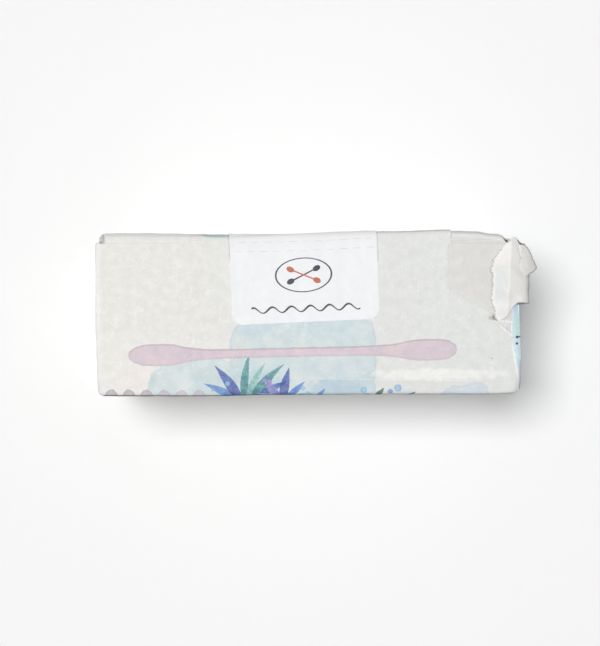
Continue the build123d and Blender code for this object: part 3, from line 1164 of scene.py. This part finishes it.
def swabDistance(place, u, v):
    (u0, v0), (u1, v1) = swabPrint["start"], swabPrint["end"]
    share = (u - u0) / (u1 - u0)
    curve = addNode(u.tree, "ShaderNodeFloatCurve", {"Value": share})
    points = curve.mapping.curves[0].points
    first, second, *others = swabPrint["curve"]
    points[0].location, points[1].location = first, second
    for x, y in others:
        points.new(x, y)
    curve.mapping.update()
    half = Value(curve.outputs[0]) * swabPrint["widest"]
    off = v - (share * (v1 - v0) + v0)
    outside = calc("GREATER_THAN", abs(share - 0.5), 0.5)
    return abs(off) - half + wobbleOn(place, 0.9, 3.0) * 0.34 + outside * 5.0, off


scallops = {                    # a common scalloped border along the front edge, in millimetres
    "firstX": -46.45,
    "lastX": -22.6,
    "pitch": 3.97,
    "height": 1.7,
    "baseV": -18.2,
    "endV": -31.0,
    "colours": [(209, 202, 207), (199, 192, 197), (176, 166, 174)],
    "farColours": [(218, 210, 218), (206, 199, 210), (190, 180, 194)],
    "changeX": -34.6,
}


def scallopDistance(place, u, v):
    away = (calc("FRACT", (u - scallops["firstX"]) / scallops["pitch"]) - 0.5) * 2.75
    arch = calc("SQRT", highest(1.0 - away * away, 0.0))
    distance = v - (arch * scallops["height"] + scallops["baseV"])
    for side, limit in ((-1, scallops["firstX"]), (1, scallops["lastX"])):
        distance = highest(distance, (u - limit) * side)
    return highest(distance, scallops["endV"] - v) + wobbleOn(place, 1.6) * 0.45


leaf = {                        # millimetres
    "edge": 0.16,
    "midrib": (0.16, 0.02),     # its half width, from faint to full
    "ribs": 1.1,                # side ribs for each millimetre
    "ribSlant": -0.9,
    "ribWidth": (0.22, 0.05),
    "ribStrength": 0.7,
}


def makeLeafGroup():            # one painted leaf: a mask, its veins, and how far along it a place is
    sizes = dict.fromkeys(["Wobble", "X", "Y", "Turn", "Length", "Width", "Bend"], "Float")
    group, source = newGroup("painted_leaf", "ShaderNodeTree", {"Sheet": "Vector", **sizes},
                             dict.fromkeys(["Mask", "Vein", "Along"], "Float"))
    foot = made(group, "ShaderNodeCombineXYZ", {0: source["X"], 1: source["Y"]})
    x, y, _ = partsOf(turnedBy(source["Sheet"] - foot, source["Turn"] * -1.0))
    along = clamped(x / source["Length"])
    arch = calc("SINE", calc("POWER", along, 0.8) * pi)
    half = arch * source["Width"] * 0.5
    off = abs(y - x * x * source["Bend"])
    mask = between(half - off + source["Wobble"], 0.0, leaf["edge"]) * calc("GREATER_THAN", arch, 0.02)
    rib = between(abs(calc("FRACT", x * leaf["ribs"] + off * leaf["ribSlant"]) - 0.5), *leaf["ribWidth"])
    vein = highest(between(off, *leaf["midrib"]), rib * leaf["ribStrength"])
    return closeGroup(group, mask, vein * mask, along)


sprigs = {                      # plain leaves and dots: foot x and y, turn, length, width, bend, colour
    "leaves": [
        (-16.4, -20.2, 146, 6.3, 1.7, 0.05, "sky"),
        (-15.6, -20.2, 128, 9.3, 2.2, 0.04, "blue"),
        (-15.0, -20.2, 112, 11.0, 2.5, 0.02, "indigo"),
        (-14.2, -20.2, 98, 12.1, 2.0, -0.02, "teal"),
        (-13.6, -20.2, 84, 10.5, 1.9, -0.03, "mint"),
        (-13.0, -20.2, 69, 11.7, 2.4, -0.03, "teal"),
        (-12.4, -20.2, 54, 9.8, 2.0, -0.04, "indigo"),
        (-11.8, -20.2, 40, 7.8, 1.8, -0.05, "mint"),
        (-11.2, -20.2, 26, 6.3, 1.6, -0.06, "violet"),
        (-6.8, -20.0, 136, 5.4, 1.5, 0.06, "sky"),
        (-6.2, -20.0, 112, 7.6, 2.0, 0.03, "violet"),
        (-5.6, -20.0, 90, 8.5, 2.3, -0.02, "indigo"),
        (-5.0, -20.0, 64, 6.8, 1.8, -0.04, "blue"),
        (-4.4, -20.0, 42, 5.4, 1.5, -0.06, "sky"),
        (1.2, -19.8, 112, 3.4, 1.2, 0.04, "sky"),
        (1.9, -19.8, 70, 4.0, 1.3, -0.05, "blue"),
        (14.6, -19.4, 132, 2.8, 1.1, 0.06, "sky"),
        (15.4, -19.4, 74, 3.6, 1.5, -0.08, "green"),
        (22.4, -19.4, 58, 3.0, 1.2, -0.08, "teal"),
    ],
    "dots": [
        (-18.2, -15.2, 0.6, "sky"),
        (-8.7, -14.8, 0.55, "violet"),
        (-7.9, -16.9, 0.4, "blue"),
        (-1.2, -16.4, 0.5, "sky"),
        (12.6, -17.0, 0.75, "sky"),
        (18.6, -17.3, 0.6, "blue"),
        (20.3, -16.5, 0.85, "sky"),
    ],
    "colours": {
        "indigo": ((98, 122, 194), (50, 60, 140)),
        "blue": ((112, 160, 216), (66, 112, 190)),
        "sky": ((162, 200, 228), (128, 176, 218)),
        "teal": ((112, 178, 178), (44, 108, 122)),
        "mint": ((176, 216, 206), (108, 168, 166)),
        "green": ((86, 132, 108), (40, 84, 70)),
        "violet": ((172, 164, 214), (124, 116, 186)),
    },
}


def paintSprigs(colour, place):
    group = makeLeafGroup()
    pigment = between(noiseOn(place, 0.8, 3.0), 0.35, 0.65)
    wobble = wobbleOn(place, 1.7) * 0.25
    for x, y, turn, length, width, bend, name in sprigs["leaves"]:
        inputs = {"Sheet": place, "Wobble": wobble, "X": x, "Y": y, "Turn": radians(turn), "Length": length,
                  "Width": width, "Bend": bend}
        mask, vein, along = outputsOf(place.tree, "ShaderNodeGroup", inputs, node_tree=group)
        light, deep = sprigs["colours"][name]
        fill = mixColours(clamped(pigment * 0.7 + (0.55 - along)), light, deep)
        fill = mixColours(vein * 0.55, fill, deep)
        colour = mixColours(mask * 0.9, colour, fill)
    for x, y, radius, name in sprigs["dots"]:
        away = calc("DISTANCE", place, (x, y, 0))
        mask = between(away + wobbleOn(place, 1.5) * 0.4, radius + 0.1, radius - 0.1)
        fill = mixColours(between(away, radius * 0.4, radius), *sprigs["colours"][name])
        colour = mixColours(mask * 0.8, colour, fill)
    return colour


endPanel = {                    # the pale blue field on the right end, in millimetres
    "edge": [((46.07, 2.3), (46.35, -7.0)), ((46.35, -7.0), (47.8, -15.5))],    # where it starts on the top
    "edgeEnd": 48.2,
    "backV": 3.6,               # behind this it keeps off the top
    "lastU": 55.0,              # how far down the end it reaches, along the sheet
    "colours": [(224, 248, 252), (216, 239, 247), (208, 230, 241)],
    "pools": [((46.5, 1.8), (1.6, 1.7), (216, 224, 246), 0.8),
              ((46.8, -1.6), (1.5, 3.2), (214, 243, 240), 0.6),
              ((48.2, -13.0), (1.6, 4.0), (206, 210, 232), 0.6)],
    "dots": [(47.25, -4.97, 0.32), (47.78, -4.9, 0.2), (47.2, -6.42, 0.28)],       # x, y and radius
    "dotColour": (58, 74, 104),
    "rub": (249, 249, 247),
}


def paintEndPanel(colour, place, u, v):
    edge = 0.0
    for (u0, v0), (u1, v1) in endPanel["edge"]:
        edge = highest(edge, (v - v0) * ((u1 - u0) / (v1 - v0)) + u0)
    edge = calc("MINIMUM", edge, endPanel["edgeEnd"])
    distance = edge + between(v, endPanel["backV"], endPanel["backV"] + 0.6) * 4.0 - u
    distance = highest(distance, wobbleOn(place, 0.16) * 5.0 + u - endPanel["lastU"])
    colour = layWash(colour, place, distance, endPanel["colours"])
    within = between(distance, 0.1, -0.1)
    for pool in endPanel["pools"]:
        colour = layPool(colour, place, *pool, within)
    x, y, z = partsOf(made(place.tree, "ShaderNodeTexCoord", output="Object"))
    plan = made(place.tree, "ShaderNodeCombineXYZ", {0: x, 1: y})
    high = calc("GREATER_THAN", z, (packHeight - 2.4) * metre)
    for dotX, dotY, radius in endPanel["dots"]:
        away = calc("DISTANCE", plan, (dotX * metre, dotY * metre, 0))
        mask = between(away, (radius + 0.08) * metre, (radius - 0.08) * metre)
        colour = mixColours(mask * high, colour, endPanel["dotColour"])
    paleEdge = between(abs(distance - 0.12), 0.42, 0.1) * between(v, -5.0, -9.0) * between(v, -17.4, -16.4)
    return mixColours(paleEdge, colour, endPanel["rub"])


wearLightAndShade = {                        # small signs of handling, and painted light and shade, in millimetres on the sheet
    "lines": [((42.2, -1.2), (43.6, -2.6), 0.2, 0.4), ((43.6, -2.6), (46.1, -4.75), 0.26, 1.0),
              ((43.2, -1.3), (46.2, -1.6), 0.34, 0.6), ((46.0, -1.6), (46.05, -4.7), 0.16, 0.8),
              ((-30.2, 15.6), (-29.8, 0.8), 0.9, 0.12), ((32.1, 16.0), (32.1, 5.8), 0.3, 0.25),
              ((0.5, -14.3), (36.0, -14.9), 0.3, 0.16)],
    "lineColour": (254, 254, 254),
    # painted shadows along the label's edges
    "labelEdgeShadows": [((-18.05, 17.2), (-17.6, 12.0), 0.14, 0.3), ((15.55, 18.4), (15.9, 11.5), 0.14, 0.22)],
    "pools": [((30.0, -13.4), (18.5, 1.7), (250, 250, 246), 0.8),       # a long painted gleam, then painted shade beside the pleat and the small hole
              ((44.8, 0.0), (1.7, 1.6), (212, 209, 218), 0.55),
              ((45.6, -3.0), (1.2, 1.5), (212, 209, 220), 0.5),
              ((41.3, -0.65), (0.85, 0.6), (186, 180, 172), 0.65)],
    "edgeDark": (0.74, 0.36),   # painted shade along the front edge, at the left and at the right
    "backDark": (0.1, 0.28),    # and along the back edge
    # painted shade along the right end's edge
    "endDark": 0.35,
    "paleEdge": (252, 248, 249),  # painted light along the left edge's roll
    "specks": [(-21.6, -16.7, 0.34, (170, 90, 96), 0.5), (41.6, -9.8, 0.22, (120, 116, 116), 0.7),
               (41.0, -9.6, 0.14, (120, 116, 116), 0.6)],
}


def lineMask(place, start, end, half):
    direction = Vector(end) - Vector(start)
    along = place - (*start, 0)
    share = clamped(calc("DOT_PRODUCT", along, (*(direction / direction.length_squared), 0)))
    distance = calc("DISTANCE", along, scaled((*direction, 0), share))
    return between(distance + wobbleOn(place, 1.1, 3.0) * (half * 1.2), half, half * 0.35)


def paintWearLightAndShade(colour, place, u, v):
    onTop = between(v, -17.8, -17.4)
    # a painted gleam, and painted shade by the pleat and the small hole
    for pool in wearLightAndShade["pools"]:
        colour = layPool(colour, place, *pool, onTop)
    for *line, strength in wearLightAndShade["lines"]:
        colour = mixColours(lineMask(place, *line) * strength, colour, wearLightAndShade["lineColour"])
    # painted shadows along the label's edges
    for *line, strength in wearLightAndShade["labelEdgeShadows"]:
        colour = darker(colour, lineMask(place, *line) * strength)
    for x, y, radius, tone, strength in wearLightAndShade["specks"]:
        mask = between(calc("DISTANCE", place, (x, y, 0)), radius, radius * 0.3)
        colour = mixColours(mask * strength, colour, tone)
    # painted light along the left edge's roll
    paleEdge = between(u, -46.4, -47.9) * between(u, -50.4, -49.2)
    return mixColours(paleEdge * 0.9, colour, wearLightAndShade["paleEdge"])


def foldedEdges(u, v):          # painted shade along the long edges and the right end's edge, seen from above
    front = between(v, -17.85, -18.15) * between(v, -19.3, -18.8)
    front = front * between(u, -22.0, 8.0, wearLightAndShade["edgeDark"]) * between(u, -47.4, -45.6)
    back = between(v, 17.9, 18.25) * between(v, 19.4, 18.8) * between(u, -28.0, -23.0, wearLightAndShade["backDark"])
    end = between(u, 48.1, 48.4) * between(u, 49.4, 48.8) * calc("LESS_THAN", abs(v), 17.0)
    return highest(front + back, end * wearLightAndShade["endDark"])


def printOn(colour, place, u, v):       # the washes, the border, the leaves and the swab
    colour = layPool(colour, place, *pools["blush"], between(v, -18.6, -18.0))
    for name, wash in washes.items():
        distance = fieldDistance(place, wash)
        if name == "back":
            distance = highest(distance, backStart - v)
        colour = layWash(colour, place, distance, wash["colours"], 0.95)
        if name == "main":
            within = between(distance, 0.1, -0.3)
            for pool in pools["main"]:
                colour = layPool(colour, place, *pool, within)
    for pool in pools["outside"]:
        colour = layPool(colour, place, *pool, 1.0)
    distance = scallopDistance(place, u, v)
    near = calc("LESS_THAN", u, scallops["changeX"])
    colour = layWash(colour, place, distance, scallops["farColours"], clamped(0.85 - near))
    colour = layWash(colour, place, distance, scallops["colours"], near * 0.95)
    colour = paintSprigs(colour, place)
    distance, off = swabDistance(place, u, v)
    colour = layWash(colour, place, distance, swabPrint["colours"], 1.0, swabPrint["rimWidth"])
    upper = between(distance, -0.5, -0.1) * between(distance, 0.12, -0.12) * between(off, 0.0, 0.6)
    return darker(colour, upper * swabPrint["upperDark"])


def makeWrappingPaper():
    material, tree, surface = newMaterial("wrapping_paper")
    place, u, v = sheetPlace(tree)
    colour = mixColours(between(u, -48.0, 48.0), paper["left"], paper["right"])
    colour = mixColours(between(v, 2.0, -16.0) * between(u, 20.0, -40.0), colour, paper["warm"])
    (tuckU, tuckV), start = paper["tuckCorner"], paper["stripStart"]
    diagonal = (u - tuckU) * paper["tuckSlant"] + (v - tuckV)
    tucked = between(u, tuckU - 0.2, tuckU + 0.4) * between(diagonal, -0.6, 1.0)
    tucked = tucked * between(v, start + 0.4, start)
    colour = mixColours(tucked * 0.9, colour, paper["tuck"])
    # painted light on the slope behind the lap at the right
    strip = between(v, start, start + 0.6) * between(u, tuckU - 0.2, tuckU + 0.4)
    colour = mixColours(strip, colour, paper["strip"])
    colour = printOn(colour, place, u, v)
    colour = paintEndPanel(colour, place, u, v)
    colour = paintWearLightAndShade(colour, place, u, v)
    grain, patches, specks = paperGrain(place)
    plain = 1.0 - tucked * 0.6
    colour = mixColours(grain * plain, colour, paper["fleck"], "MULTIPLY")
    dull = patches * paper["patchDark"] - specks * paper["speckLight"]
    colour = darker(colour, dull * plain)
    # painted shade along the folded edges
    colour = darker(colour, foldedEdges(u, v))
    # painted shade in the openings, the tuck and along the lap's foot
    dark = made(tree, "ShaderNodeAttribute", output="Fac", attribute_name="shade")
    colour = mixColours(dark, colour, paper["inside"])
    height = grain * paper["grainBump"] + noiseOn(place, 9.0, 3.0, 0.6) * paper["fibreBump"]
    rough = between(noiseOn(place, 0.5, 3.0), 0.3, 0.7, paper["roughness"])
    finishMaterial(surface, colour, rough, height, 0.6, 1.0, 0.35)
    return material


wrappingPaper = makeWrappingPaper()
for piece in [wrappedBlock, *endFlaps]:
    piece.data.materials.append(wrappingPaper)
print("wrapping paper")

tornTones = {                   # on the flap's own sheet: along from its ridge, and y, in millimetres
    "plain": (240, 238, 234),
    "bright": (247, 245, 241),
    # painted shade colour
    "inside": (78, 74, 71),
    # painted light on the flap's left slope
    "left": (243, 242, 238),
    # a cool tint low down, then painted light near the top of the ridge
    "leftPools": [((-2.2, 7.0), (2.6, 4.6), (230, 235, 235), 0.7),
                  ((-1.8, 14.2), (3.8, 3.0), (250, 248, 243), 0.9)],
    # a lighter patch low on the right, then painted shade where the flap turns down at the top
    "pools": [((3.6, 4.8), (1.8, 2.4), (243, 240, 238), 0.7),
              ((3.4, 13.6), (1.7, 3.4), (222, 218, 216), 0.7)],
    # painted highlight along the ridge, and a short crease beside it
    "ridge": [((-0.25, 16.6), (-0.2, 13.0), 0.38, 0.9), ((-0.15, 13.0), (-0.12, 7.4), 0.16, 0.6),
              ((-0.12, 7.4), (-0.3, 2.0), 0.22, 0.4), ((-1.0, 5.9), (-0.2, 5.3), 0.16, 0.7)],
    # the torn edges' pale core, also laid as the painted highlight on the ridge and a little painted light on the
    # tip
    "margin": (252, 250, 247),
    "roughness": (0.5, 0.68),
}


def makeTornPaper():
    material, tree, surface = newMaterial("torn_paper")
    place, a, _ = sheetPlace(tree)
    cloud = between(noiseOn(place, 0.5, 4.0, 0.6), 0.36, 0.64)
    colour = mixColours(cloud * 0.35, tornTones["plain"], tornTones["bright"])
    # painted light on the flap's left slope
    left = between(a, 0.1, -0.1)
    colour = mixColours(left * 0.8, colour, tornTones["left"])
    # a cool tint, and painted light near the top of the ridge
    for pool in tornTones["leftPools"]:
        colour = layPool(colour, place, *pool, left)
    # a lighter patch, and painted shade where the flap turns down at the top
    for pool in tornTones["pools"]:
        colour = layPool(colour, place, *pool, calc("LESS_THAN", a, 20.0))      # not on the tip
    # painted highlight along the ridge
    for *line, strength in tornTones["ridge"]:
        colour = mixColours(lineMask(place, *line) * strength, colour, tornTones["margin"])
    # painted shade from the shade attribute, or below 0 the pale torn margin and a little painted light on the
    # tip
    shade = made(tree, "ShaderNodeAttribute", output="Fac", attribute_name="shade")
    colour = mixColours(clamped(shade * -1.0), colour, tornTones["margin"])
    colour = mixColours(clamped(shade), colour, tornTones["inside"])
    height = noiseOn(turnedBy(place, 0.5) * (5.0, 1.6, 1), 1.0, 4.0, 0.6)
    rough = between(cloud, 0.0, 1.0, tornTones["roughness"])
    finishMaterial(surface, colour, rough, height, 0.5, 0.03, 0.3)
    return material


labelPrint = {                  # a plain mark and a plain wavy line, millimetres from the label's back fold
    "paper": (247, 248, 250),
    "shade": (244, 245, 247),
    "worn": (242, 242, 243),    # along the slits
    "ink": (44, 46, 64),
    "accent": (196, 108, 84),
    "oval": (-0.2, -9.2, 6.3, 3.7, 0.15),       # centre, radii and half the line's width
    "swabs": [((-4.0, -10.9), (3.6, -7.5)), ((-4.0, -7.5), (3.6, -10.9))],
    "swabWidth": 0.62,
    "budAt": 0.39,              # from the swab's middle, as a share of its length
    "budRate": 9.2,
    "stick": 0.17,
    "stickEnd": 0.42,
    "swabEnd": 0.498,
    "wave": (-16.6, 0.62, 4.3, 12.4, 0.17),     # middle, height, length, reach and half the line's width
    "roughness": (0.46, 0.54),
}


def ovalMask(place, x, y, rx, ry, half):
    away = (place - (x, y, 0)) / (rx, ry, 1)
    distance = (calc("LENGTH", away) - 1.0) * ((rx + ry) / 2)
    return between(abs(distance), half + 0.06, half - 0.06)


def smallSwabMask(place, start, end, widest):
    direction = Vector(end) - Vector(start)
    unit = direction.normalized()
    away = place - (*start, 0)
    middle = abs(calc("DOT_PRODUCT", away, (*(unit / direction.length), 0)) - 0.5)
    off = abs(calc("DOT_PRODUCT", away, (-unit.y, unit.x, 0)))
    bud = (middle - labelPrint["budAt"]) * labelPrint["budRate"]
    bud = calc("SQRT", highest(1.0 - bud * bud, 0.0)) * widest
    stick = calc("LESS_THAN", middle, labelPrint["stickEnd"]) * labelPrint["stick"]
    mask = between(off - highest(bud, stick), 0.05, -0.07)
    return mask * calc("LESS_THAN", middle, labelPrint["swabEnd"])


def waveMask(s, t, middle, height, length, reach, half):
    turn = s * (2 * pi / length)
    line = calc("SINE", turn) * height + middle
    steep = calc("COSINE", turn) * (height * 2 * pi / length)
    distance = abs(t - line) / calc("SQRT", steep * steep + 1.0)
    thick = calc("SINE", turn + 0.9) * 0.05 + half
    return between(distance - thick, 0.06, -0.06) * between(abs(s), reach, reach - 0.25)


def makeLabelPaper():
    material, tree, surface = newMaterial("label_paper")
    place, s, t = sheetPlace(tree)
    ink = labelPrint["ink"]
    cloud = between(noiseOn(place * (0.35, 0.12, 1), 1.0, 3.0), 0.3, 0.7)
    colour = mixColours(cloud, labelPrint["paper"], labelPrint["shade"])
    worn = between(t, -3.6, -1.6) * between(t, 1.0, 0.0)
    colour = mixColours(worn * 0.7, colour, labelPrint["worn"])
    colour = mixColours(ovalMask(place, *labelPrint["oval"]), colour, ink)
    for ends, tone in zip(labelPrint["swabs"], (ink, labelPrint["accent"])):
        colour = mixColours(smallSwabMask(place, *ends, labelPrint["swabWidth"]), colour, tone)
    colour = mixColours(waveMask(s, t, *labelPrint["wave"]), colour, ink)
    rough = between(noiseOn(place, 0.8, 3.0), 0.3, 0.7, labelPrint["roughness"])
    finishMaterial(surface, colour, rough, noiseOn(place, 5.0, 3.0, 0.55), 0.4, 0.012, 0.3)
    return material


makePerforation()
makeFibres()
tornPaper, labelPaper = makeTornPaper(), makeLabelPaper()
for piece in (tornFlap, tornTip):
    piece.data.materials.append(tornPaper)
closingLabel.data.materials.append(labelPaper)
print("torn paper and label paper")

light = {                       # strengths, and the lamp's place
    "sky": 0.15,                # the world's light from all round
    "key": 2.34,                # a broad soft lamp nearly overhead, as the light it gives each square metre
    "keyAway": 4.0,             # metres
    "keyToRight": 6.9,          # degrees that the shadow leans to the right and the front
    "keyToFront": 4.2,
    "keySpread": (14.2, 11.8),  # degrees across, from left to right and from front to back
    "floor": 0.9,
    "floorGlow": 0.12,          # for the camera, reflections and what is seen through things alone
    "floorReach": 1.5,          # metres
}


def seenRays(tree):             # 1 for the camera, reflections and what is seen through things
    rays = addNode(tree, "ShaderNodeLightPath").outputs
    seen = highest(Value(rays["Is Camera Ray"]), Value(rays["Is Glossy Ray"]))
    return highest(seen, Value(rays["Is Transmission Ray"]))


def makeFloor():
    mesh = bpy.data.meshes.new("floor")
    reach = light["floorReach"]
    corners = [(-reach, -reach, 0), (reach, -reach, 0), (reach, reach, 0), (-reach, reach, 0)]
    mesh.from_pydata(corners, [], [(0, 1, 2, 3)])
    material, tree, surface = newMaterial("floor_white")
    surface.inputs["Base Color"].default_value = (light["floor"],) * 3 + (1,)
    surface.inputs["Roughness"].default_value = 1.0
    surface.inputs["Specular IOR Level"].default_value = 0.0
    surface.inputs["Emission Color"].default_value = (1, 1, 1, 1)
    glow = seenRays(tree) * light["floorGlow"]
    tree.links.new(glow.socket, surface.inputs["Emission Strength"])
    mesh.materials.append(material)
    link("floor", mesh)


def makeWorld():
    world = bpy.data.worlds.new("world")
    bpy.context.scene.world = world
    world.use_nodes = True
    tree = world.node_tree
    strength = seenRays(tree) * (1 - light["sky"]) + light["sky"]
    tree.nodes["Background"].inputs["Color"].default_value = (1, 1, 1, 1)
    tree.links.new(strength.socket, tree.nodes["Background"].inputs["Strength"])


def makeKey():
    lamp = bpy.data.lights.new("key", "AREA")
    lamp.shape = "ELLIPSE"
    away = light["keyAway"]
    lamp.size, lamp.size_y = [2 * away * tan(radians(spread / 2)) for spread in light["keySpread"]]
    lamp.energy = light["key"] * pi * away * away
    holder = link("key", lamp)
    holder.rotation_euler = Euler((radians(-light["keyToFront"]), radians(-light["keyToRight"]), 0))
    holder.location = holder.rotation_euler.to_matrix() @ Vector((0, 0, away))


makeFloor()
makeWorld()
makeKey()
print("light and floor")

bpy.context.scene.view_settings.view_transform = "Standard"
